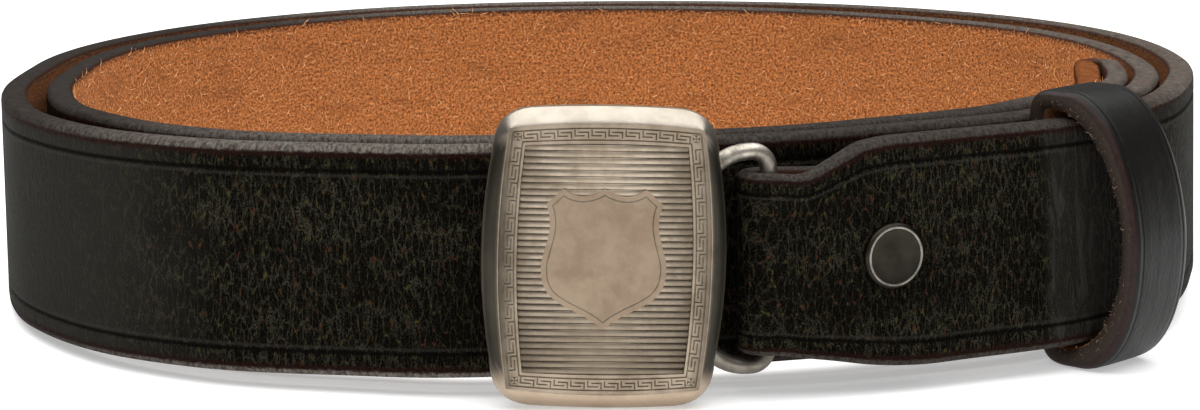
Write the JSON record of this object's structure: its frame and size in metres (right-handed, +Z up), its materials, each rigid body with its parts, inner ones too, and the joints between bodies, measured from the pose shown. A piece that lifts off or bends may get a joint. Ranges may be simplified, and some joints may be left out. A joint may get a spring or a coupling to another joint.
{
  "type": "slide buckle belt",
  "caption": "Leather belt with an engraved plate buckle, wound in an upright coil on its edge, its strap end folded on a wire loop and riveted, with a leather keeper.",
  "frame": {"origin": "centre of the bounding box at its bottom, where the belt rests on its edge", "axes": "+Z up, across the strap's width; -Y towards the buckle plate's front; +X towards the keeper's side"},
  "size_m": [0.1698, 0.1704, 0.0364],
  "materials": {
    "black_leather": "satin",
    "keeper_leather": "satin",
    "nickel_silver": "satin",
    "steel": "satin"
  },
  "bodies": {
    "root": {"strap": "black_leather", "keeper": "keeper_leather", "rivet": "steel", "wire_loop": "steel", "buckle_plate": "nickel_silver"}
  },
  "joints": []
}
